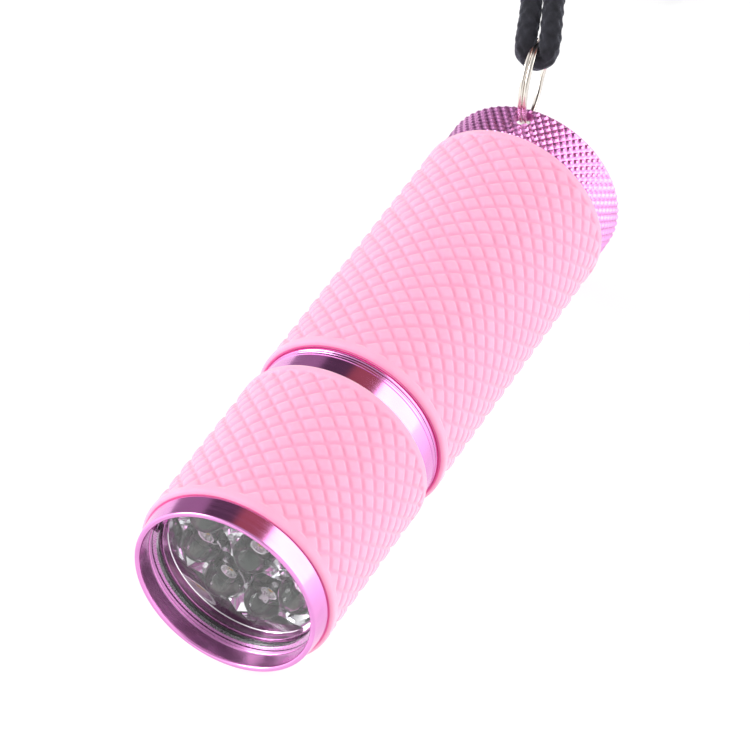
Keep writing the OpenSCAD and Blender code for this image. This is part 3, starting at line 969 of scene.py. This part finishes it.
def add_tail_cap():
    """The knurled cap with its plug, its recess and its lanyard hole."""
    pattern = Lozenges(KNURLS_AROUND, KNURL_PITCH, 0, KNURL_S, KNURL_LINES)
    start, end = CAP_START + CAP_CHAMFER_FRONT, CAP_END - CAP_CHAMFER_REAR
    cap = patterned_tube("knurled_cap", pattern, start, end, [], knurl_height,
                         cap_front(), cap_rear())
    drill_lanyard_hole(cap)
    finish_piece(cap, CAP_METAL, "tail_cap", ("tail_cap",), sharp=22)


THREAD_PITCH, THREAD_FADE = 1.0, 1.2


def thread(name, radius, start, end, depth, finish, body):
    """A raised helical thread on the lamp's axis, fading out at both ends."""
    turns = (end - start) / THREAD_PITCH
    angle = np.linspace(0, FULL_TURN * turns, round(72 * turns))
    s = start + THREAD_PITCH * angle / FULL_TURN
    fade = np.clip(np.minimum(angle, angle[-1] - angle) / THREAD_FADE, 0.05, 1)
    half, crest, sunk = THREAD_PITCH * 0.44, 0.1, -0.05
    section = [(-half, sunk), (half, sunk), (crest, depth), (-crest, depth)]
    rings = [on_axis(angle, s + u, radius + np.where(v > 0, v * fade, v)) for u, v in section]
    points = np.stack(rings, 1).reshape(-1, 3)
    faces = [face[::-1] for face in tube_faces(len(angle), len(section))]
    add_piece(name, (points, faces), finish, body)


add_tail_cap()
thread("tail_cap_thread", PLUG_R - THREAD_DEPTH, PLUG_START + 0.6, PLUG_GROOVE - 1.0, 0.42,
       CAP_METAL, "tail_cap")


# ---- Head shell and barrel ----

WINDOW_R, LEDGE_R, SOCKET_R = 11.5, 10.6, 11.9
LEDGE_S, MODULE_S = 5.2, 6.0
LIP_S, LIP_R = 4.75, 11.05
BEZEL_L, BEZEL_R = span("front_grip_sleeve")[0], 12.5
SNAP_START, SNAP_END, SNAP_R = 3.1, 3.7, WINDOW_R + 0.12
NECK_R, HEAD_GROOVE = 11.85, 27.3
NECK_GROOVE_R = NECK_R - RING_GROOVE_DEPTH
THREAD_START = 28.7
COLLAR_S, BORE_R, TAIL_BORE_R = 31.95, 11.35, 11.75

BEZEL_RIM = [
    (0.04, 11.66), (0.0, 11.76), (0.0, 12.02), (0.05, 12.13), (0.16, 12.21),
    (BEZEL_L - 0.32, BEZEL_R), (BEZEL_L - 0.12, BEZEL_R), (BEZEL_L, BEZEL_R - 0.1),
    (BEZEL_L, TUBE_R),
]
# The bare band, with two fine turned lines
BARE_BAND = [
    (30.95, TUBE_R), (31.02, TUBE_R - 0.1), (31.14, TUBE_R - 0.1), (31.2, TUBE_R),
    (31.48, TUBE_R), (31.54, TUBE_R - 0.09), (31.62, TUBE_R - 0.02),
    (HEAD_END - 0.06, TUBE_R - 0.02), (HEAD_END, TUBE_R - 0.1),
]
HEAD_SOCKET = [
    (HEAD_END, SOCKET_R), (MODULE_S, SOCKET_R), (MODULE_S, LEDGE_R + 0.1),
    (MODULE_S - 0.1, LEDGE_R),
]
WINDOW_SEAT = [
    (LIP_S + 0.05, LEDGE_R), (LIP_S, LEDGE_R + 0.05), (LIP_S, LIP_R), (LEDGE_S, LIP_R),
    (LEDGE_S, WINDOW_R), (SNAP_END, WINDOW_R), (SNAP_END, SNAP_R), (SNAP_START, SNAP_R),
    (SNAP_START, WINDOW_R),
]
# The bezel's bore, with one fine turned line
BEZEL_BORE = [
    (2.62, WINDOW_R), (2.55, WINDOW_R + 0.06), (2.4, WINDOW_R + 0.06), (2.3, WINDOW_R),
    (0.3, WINDOW_R), (0.12, WINDOW_R + 0.06),
]
NECK = [
    (BARREL_START, BORE_R + 0.1), (BARREL_START, NECK_R - 0.35), (BARREL_START + 0.25, NECK_R),
    (HEAD_GROOVE, NECK_R), (HEAD_GROOVE, NECK_GROOVE_R),
    (HEAD_GROOVE + RING_GROOVE_L, NECK_GROOVE_R), (HEAD_GROOVE + RING_GROOVE_L, NECK_R),
    (THREAD_START - 0.2, NECK_R), (THREAD_START, NECK_GROOVE_R),
    (COLLAR_S - 0.5, NECK_GROOVE_R), (COLLAR_S - 0.3, NECK_R), (COLLAR_S, NECK_R),
]
BARREL_OUTSIDE = [
    (COLLAR_S, TUBE_R - 0.12), (COLLAR_S + 0.1, TUBE_R - 0.02), (COLLAR_S + 0.3, TUBE_R),
    (BARREL_END - 0.1, TUBE_R), (BARREL_END, TUBE_R - 0.1),
]
BARREL_BORE = [
    (BARREL_END, TAIL_BORE_R + 0.1), (BARREL_END - 0.2, TAIL_BORE_R),
    (PLUG_START - 0.2, TAIL_BORE_R), (PLUG_START - 0.2, BORE_R), (BARREL_START + 0.1, BORE_R),
]

turned("bezel_tube", BEZEL_RIM + BARE_BAND + HEAD_SOCKET + WINDOW_SEAT + BEZEL_BORE,
       SHELL_METAL, "head", ("head_shell",), steps=256)
turned("barrel_tube", NECK + BARREL_OUTSIDE + BARREL_BORE,
       SHELL_METAL, "barrel", ("barrel",), steps=192)
thread("barrel_thread", NECK_GROOVE_R, THREAD_START + 0.2, COLLAR_S - 0.7, 0.28,
       SHELL_METAL, "barrel")


# ---- Window ----

LENS_R, LENS_EDGE = radius_of("lens"), 0.12


def add_window():
    """A flat clear disc with its edges broken."""
    front, back = span("lens")
    rim = LENS_R - LENS_EDGE
    disc = capped_lathe([
        (front, 0), (front, LENS_R / 2), (front, rim), (front + LENS_EDGE, LENS_R),
        (back - LENS_EDGE, LENS_R), (back, rim), (back, LENS_R / 2), (back, 0),
    ], 160)
    add_piece("window", stand(disc, 0), WINDOW, "head", ("lens",))


def add_gasket():
    """The window's seal, which shows as a thin dark ring."""
    front, back = span("lens_gasket")
    slack = 0.02
    turned("window_gasket", [
        (front + slack, LIP_R + 0.08), (front + slack, LENS_R - 0.06), (front + 0.1, LENS_R),
        (back - slack, LENS_R), (back - slack, LIP_R + slack), (front + 0.1, LIP_R + slack),
    ], BLACK_RUBBER, "head", ("lens_gasket",))


add_window()
add_gasket()


# ---- Lamps ----

LED_RING_N, LED_RING_R, LED_TURN = 8, 7.3, 10
LED_R, LED_L, LED_TIP_S, LED_FLANGE_R, LED_FLANGE_T = 2.5, 8.6, 5.6, 2.75, 1.0
LED_BASE_S = LED_TIP_S + LED_L
BOND_WIRE_R = 0.04
LED_SPIN = 2.4


def led_places():
    """(x, up) of each lamp."""
    ring = [math.radians(LED_TURN + 360 * i / LED_RING_N) for i in range(LED_RING_N)]
    return [(0.0, 0.0)] + [(LED_RING_R * math.cos(a), LED_RING_R * math.sin(a)) for a in ring]


def led_body():
    """Dome, barrel and flange of a 5 mm lamp along local Z, its tip at 0."""
    dome = [
        (LED_R * (1 - math.cos(a)), LED_R * math.sin(a)) for a in np.linspace(0, math.pi / 2, 13)
    ]
    flange, edge = LED_L - LED_FLANGE_T, 0.05
    return capped_lathe(dome + [
        (flange - edge, LED_R), (flange, LED_R + edge), (flange + edge, LED_FLANGE_R),
        (LED_L - edge, LED_FLANGE_R), (LED_L, LED_FLANGE_R - edge), (LED_L, 0),
    ], 40)


def box_shape(x0, x1, half_y, z0, z1):
    """A box along local Z."""
    corners_of = ((x0, -half_y), (x1, -half_y), (x1, half_y), (x0, half_y))
    points = [(x, y, z) for z in (z0, z1) for x, y in corners_of]
    faces = [(3, 2, 1, 0), (4, 5, 6, 7), (0, 1, 5, 4), (1, 2, 6, 5), (2, 3, 7, 6), (3, 0, 4, 7)]
    return np.array(points, float), faces


def led_frame():
    """The two posts in a lamp: the anvil with its dish, and the thin post with its bond wire."""
    half, end = 0.25, LED_L - 0.02
    dish_outline = [(3.75, 0), (3.75, 0.32), (3.25, 0.55), (3.25, 0.68), (4.3, 0.45), (4.3, 0)]
    wire_path = [(0.05, 0, 3.6), (0.3, 0, 3.1), (0.8, 0, 3.1), (1.1, 0, 3.5)]
    return joined([
        capped_lathe(dish_outline, 20),
        box_shape(-1.55, 0.45, 0.28, 4.2, 5.1),
        box_shape(-1.52, -1.02, half, 5.0, end),
        box_shape(0.85, 1.5, half, 3.5, 4.8),
        box_shape(1.02, 1.52, half, 4.7, end),
        swept(smooth_path(wire_path, 0.15), circle(BOND_WIRE_R, 6)),
    ])


def led_chip():
    """The phosphor dab in the dish."""
    return capped_lathe([(3.42, 0), (3.46, 0.14), (3.55, 0.26), (3.72, 0.32), (3.76, 0)], 16)


def at_lamps(shape):
    """A copy of a shape at each lamp, turned differently from lamp to lamp."""
    copies = []
    for i, (x, up) in enumerate(led_places()):
        points = shape[0].copy()
        c, s = math.cos(LED_SPIN * i), math.sin(LED_SPIN * i)
        points[:, :2] = points[:, :2] @ np.array([[c, s], [-s, c]])
        copies.append(stand((points, shape[1]), LED_TIP_S, x, up))
    return joined(copies)


def add_lamps():
    """Clear bodies, metal frames and phosphor dabs of all the lamps."""
    add_piece("lamp_bodies", at_lamps(led_body()), CLEAR_EPOXY, "led_module", ("uv_leds",))
    add_piece("lamp_frames", at_lamps(led_frame()), TIN, "led_module")
    add_piece("lamp_chips", at_lamps(led_chip()), PHOSPHOR, "led_module")


add_lamps()


# ---- Reflector ----

CUP_R, CUP_FLOOR, MODULE_R = 10.6, 10.0, 11.8
LED_HOLE_R = LED_R + 0.1
CUP_SLOPE = 1.15
CUP_BACK_R, CUP_LIP_R, CUP_FLOOR_T = 11.0, 10.4, 1.1
CUP_EDGE = 0.1
BORDER_STEPS, DISH_RINGS = 7, 7
HALF_SHARE = math.pi / LED_RING_N


def centre_border():
    """Half of one side of the middle lamp's share, as (radial, sideways) points."""
    middle = LED_RING_R / 2
    reach = middle * math.tan(HALF_SHARE)
    return [(middle, reach * t) for t in np.linspace(0, 1, BORDER_STEPS)]


def outer_border():
    """Half of one outer lamp's share of the cup floor, as (radial, sideways) points."""
    inside = LED_RING_R / 2 / math.cos(HALF_SHARE)
    ray = [(r * math.cos(HALF_SHARE), r * math.sin(HALF_SHARE))
           for r in np.linspace(inside, CUP_R, BORDER_STEPS + 4)[1:]]
    arc = [(CUP_R * math.cos(a), CUP_R * math.sin(a))
           for a in np.linspace(HALF_SHARE, 0, BORDER_STEPS)[1:]]
    return centre_border() + ray + arc


def dish(border, centre, mirrored):
    """Rings from a lamp's hole out to the border; depth grows with distance from the lamp."""
    centre = np.array(centre)
    border = np.array(border, float) * [1, -1 if mirrored else 1]
    away = np.linalg.norm(border - centre, axis=1)
    unit = (border - centre) / away[:, None]
    rows = [centre + unit * (LED_HOLE_R + (away - LED_HOLE_R) * t)[:, None]
            for t in np.linspace(0, 1, DISH_RINGS)]
    rise = [(np.linalg.norm(row - centre, axis=1) - LED_HOLE_R) * CUP_SLOPE for row in rows]
    points = np.concatenate([np.column_stack([row, -up]) for row, up in zip(rows, rise)])
    n = len(border)
    faces = []
    for i in range(DISH_RINGS - 1):
        for k in range(n - 1):
            quad = (i * n + k, i * n + k + 1, (i + 1) * n + k + 1, (i + 1) * n + k)
            faces.append(quad[::-1] if mirrored else quad)
    return points, faces


def all_dishes():
    """The nine dishes, as halves turned into place."""
    parts = []
    for i in range(LED_RING_N):
        a = math.radians(LED_TURN) + FULL_TURN * i / LED_RING_N
        spin = np.array([[math.cos(a), math.sin(a)], [-math.sin(a), math.cos(a)]])
        for mirrored in (False, True):
            for border, centre in ((outer_border(), (LED_RING_R, 0)), (centre_border(), (0, 0))):
                points, faces = dish(border, centre, mirrored)
                points[:, :2] = points[:, :2] @ spin
                parts.append((points, faces))
    return joined(parts)


def axis_reach(edge):
    """How near an edge comes to the lamp's axis, in metres."""
    return min(math.hypot(v.co.x, v.co.z - AXIS_Z * MM) for v in edge.verts)


def add_reflector():
    """Nine small dishes that meet in ridges, in a cup with a straight wall."""
    thing = new_object("reflector", *stand(all_dishes(), CUP_FLOOR))
    bm = open_mesh(thing)
    bmesh.ops.remove_doubles(bm, verts=bm.verts, dist=2e-6)
    open_edges = [edge for edge in bm.edges if edge.is_boundary]
    rim = [edge for edge in open_edges if axis_reach(edge) > (CUP_R - 0.05) * MM]
    holes = [edge for edge in open_edges if edge not in rim]
    front, back = span("led_reflector")
    floor_back = LED_BASE_S - CUP_FLOOR_T
    carry(bm, holes, floor_back)
    edges = rim
    for place, r in (
        (front + CUP_EDGE, CUP_R), (front, CUP_R + CUP_EDGE), (front, MODULE_R - CUP_EDGE),
        (front + CUP_EDGE, MODULE_R), (back, MODULE_R), (back, CUP_BACK_R),
        (floor_back, CUP_BACK_R), (floor_back, CUP_LIP_R),
    ):
        edges = carry(bm, edges, place, r)
    close_mesh(bm, thing)
    finish_piece(thing, CHROME, "led_module", ("led_reflector",), sharp=30)


add_reflector()


# ---- Switch boot ----

BOOT_R, BOOT_WALL, BOOT_FLANGE_R = 5.9, 0.9, 10.2
BOOT_FILLET, BOOT_FILLET_L, DOME_RISE, DOME_POWER = 0.6, 0.25, 2.0, 0.8


def boot_outline(front, back, top):
    """Outside from the flange to the dome's top and inside back again, as (s, r) points."""
    bore = BOOT_R - BOOT_WALL
    foot = BOOT_R + 0.1
    flange = [(front, BOOT_FLANGE_R), (back - 0.1, BOOT_FLANGE_R), (back, BOOT_FLANGE_R - 0.1),
              (back, foot + BOOT_FILLET)]
    fillet = [(back + BOOT_FILLET_L * t, foot + BOOT_FILLET * (1 - t) ** 2) for t in (0.4, 1.0)]
    skirt = [(s, BOOT_R) for s in np.linspace(back + 0.5, top - DOME_RISE, 7)]
    dome = [
        (top - DOME_RISE + DOME_RISE * math.sin(a), BOOT_R * math.cos(a) ** DOME_POWER)
        for a in np.radians([15, 30, 45, 60, 72, 82])
    ]
    inside = [(top - BOOT_WALL - 1.2, 0), (top - BOOT_WALL - 1.3, 2.6), (top - 2.6, bore)]
    inside += [(s, bore) for s in np.linspace(top - 3.0, front, 7)]
    return [(top, 0)] + (flange + fillet + skirt + dome)[::-1] + inside[::-1]


def add_boot():
    """Flange, skirt and dome in one moulding."""
    top = span("switch_boot_dome")[1]
    front, back = span("switch_boot_rim")
    thing = new_object("switch_boot", *stand(capped_lathe(boot_outline(front, back, top), 96), 0))
    close_mesh(open_mesh(thing), thing)
    finish_piece(thing, BOOT_RUBBER, None, ("switch_boot_rim", "switch_boot_dome"))
    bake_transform(thing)


add_boot()


# ---- Cells and springs ----

CELL_R, NUB_L, NUB_R = 5.15, 0.8, 1.9
# Each cell's node, and whether its nub points to the head
CELLS = {"cell_1": True, "cell_2": False, "cell_3": True}


def cell_shape(length):
    """An AAA cell along local Z, its nub at 0: nub, crimped shoulder, jacket and base."""
    nub = [(0, 0), (0, NUB_R - 0.25), (0.2, NUB_R), (NUB_L - 0.1, NUB_R), (NUB_L, NUB_R + 0.15)]
    shoulder = [
        (NUB_L, CELL_R - 0.75), (NUB_L - 0.12, CELL_R - 0.6), (NUB_L - 0.12, CELL_R - 0.35),
        (NUB_L + 0.2, CELL_R - 0.05), (NUB_L + 0.9, CELL_R),
    ]
    base = [
        (length - 0.9, CELL_R), (length - 0.25, CELL_R - 0.05), (length - 0.02, CELL_R - 0.35),
        (length - 0.02, CELL_R - 0.7), (length - 0.2, CELL_R - 0.9), (length - 0.2, CELL_R - 1.4),
        (length, CELL_R - 1.6), (length, 0),
    ]
    return capped_lathe(nub + shoulder + base, 72)


def add_cells():
    """The three cells, each in its CAD cell's place."""
    for number, (node, forward) in enumerate(CELLS.items(), 1):
        x, up = centre_of(node)
        start, end = span(node)
        placed = stand(cell_shape(end - start), start if forward else end, x, up,
                       forward=not forward)
        add_piece(f"battery_{number}", placed, CELL_FINISH, "cartridge", (node,), sharp=35)


# Name, node, body, radii at both ends, turns, wire radius, and whether it points to the head
CONTACT_COILS = [
    ("lamp_contact_coil", "front_contact_spring", "led_module", 3.6, 1.8, 5, 0.25, False),
    ("tail_contact_coil", "tail_contact_spring", "tail_contact", 4.2, 2.2, 3, 0.3, True),
]


def add_springs():
    """Round wire springs in place of the plain ones."""
    springs = []
    start, end = span("cell_contact_springs")
    for node, forward in CELLS.items():
        x, up = centre_of(node)
        gap = end - span(node)[1] if forward else span(node)[0] - start
        spring = coil(3.2, 1.6, gap, 2.2, 0.24)
        springs.append(stand(spring, end if forward else start, x, up, forward=forward))
    add_piece("battery_springs", joined(springs), STEEL, "cartridge", ("cell_contact_springs",))
    for name, node, body, r0, r1, turns, wire_r, forward in CONTACT_COILS:
        front, back = span(node)
        wire = coil(r0, r1, back - front, turns, wire_r)
        placed = stand(wire, back if forward else front, forward=forward)
        add_piece(name, placed, STEEL, body, (node,))


add_cells()
add_springs()


# ---- CAD parts that keep their shape ----

CAD_EDGE = 0.06
KEPT = {
    "head_o_ring": BLACK_RUBBER, "tail_o_ring": BLACK_RUBBER, "lens_snap_ring": STEEL,
    "led_board": BOARD_FINISH, "led_leads": TIN,
    "cartridge_frame": BLACK_MOULDING, "cartridge_front_board": BOARD_FINISH,
    "cartridge_rear_board": BOARD_FINISH, "cartridge_front_button": BRASS,
    "cartridge_rear_contact": BRASS, "cell_contact_tabs": STEEL, "tail_contact_plate": BRASS,
    "switch_body": BLACK_MOULDING, "switch_retaining_ring": BRASS, "switch_plunger": BLACK_MOULDING,
}


def dress_cad_nodes():
    """Gives each of them its own material and rounded edges."""
    for node, finish in KEPT.items():
        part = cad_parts[node]
        part.data.materials.clear()
        part.data.materials.append(finish.material)
        bevel(part, CAD_EDGE)


dress_cad_nodes()
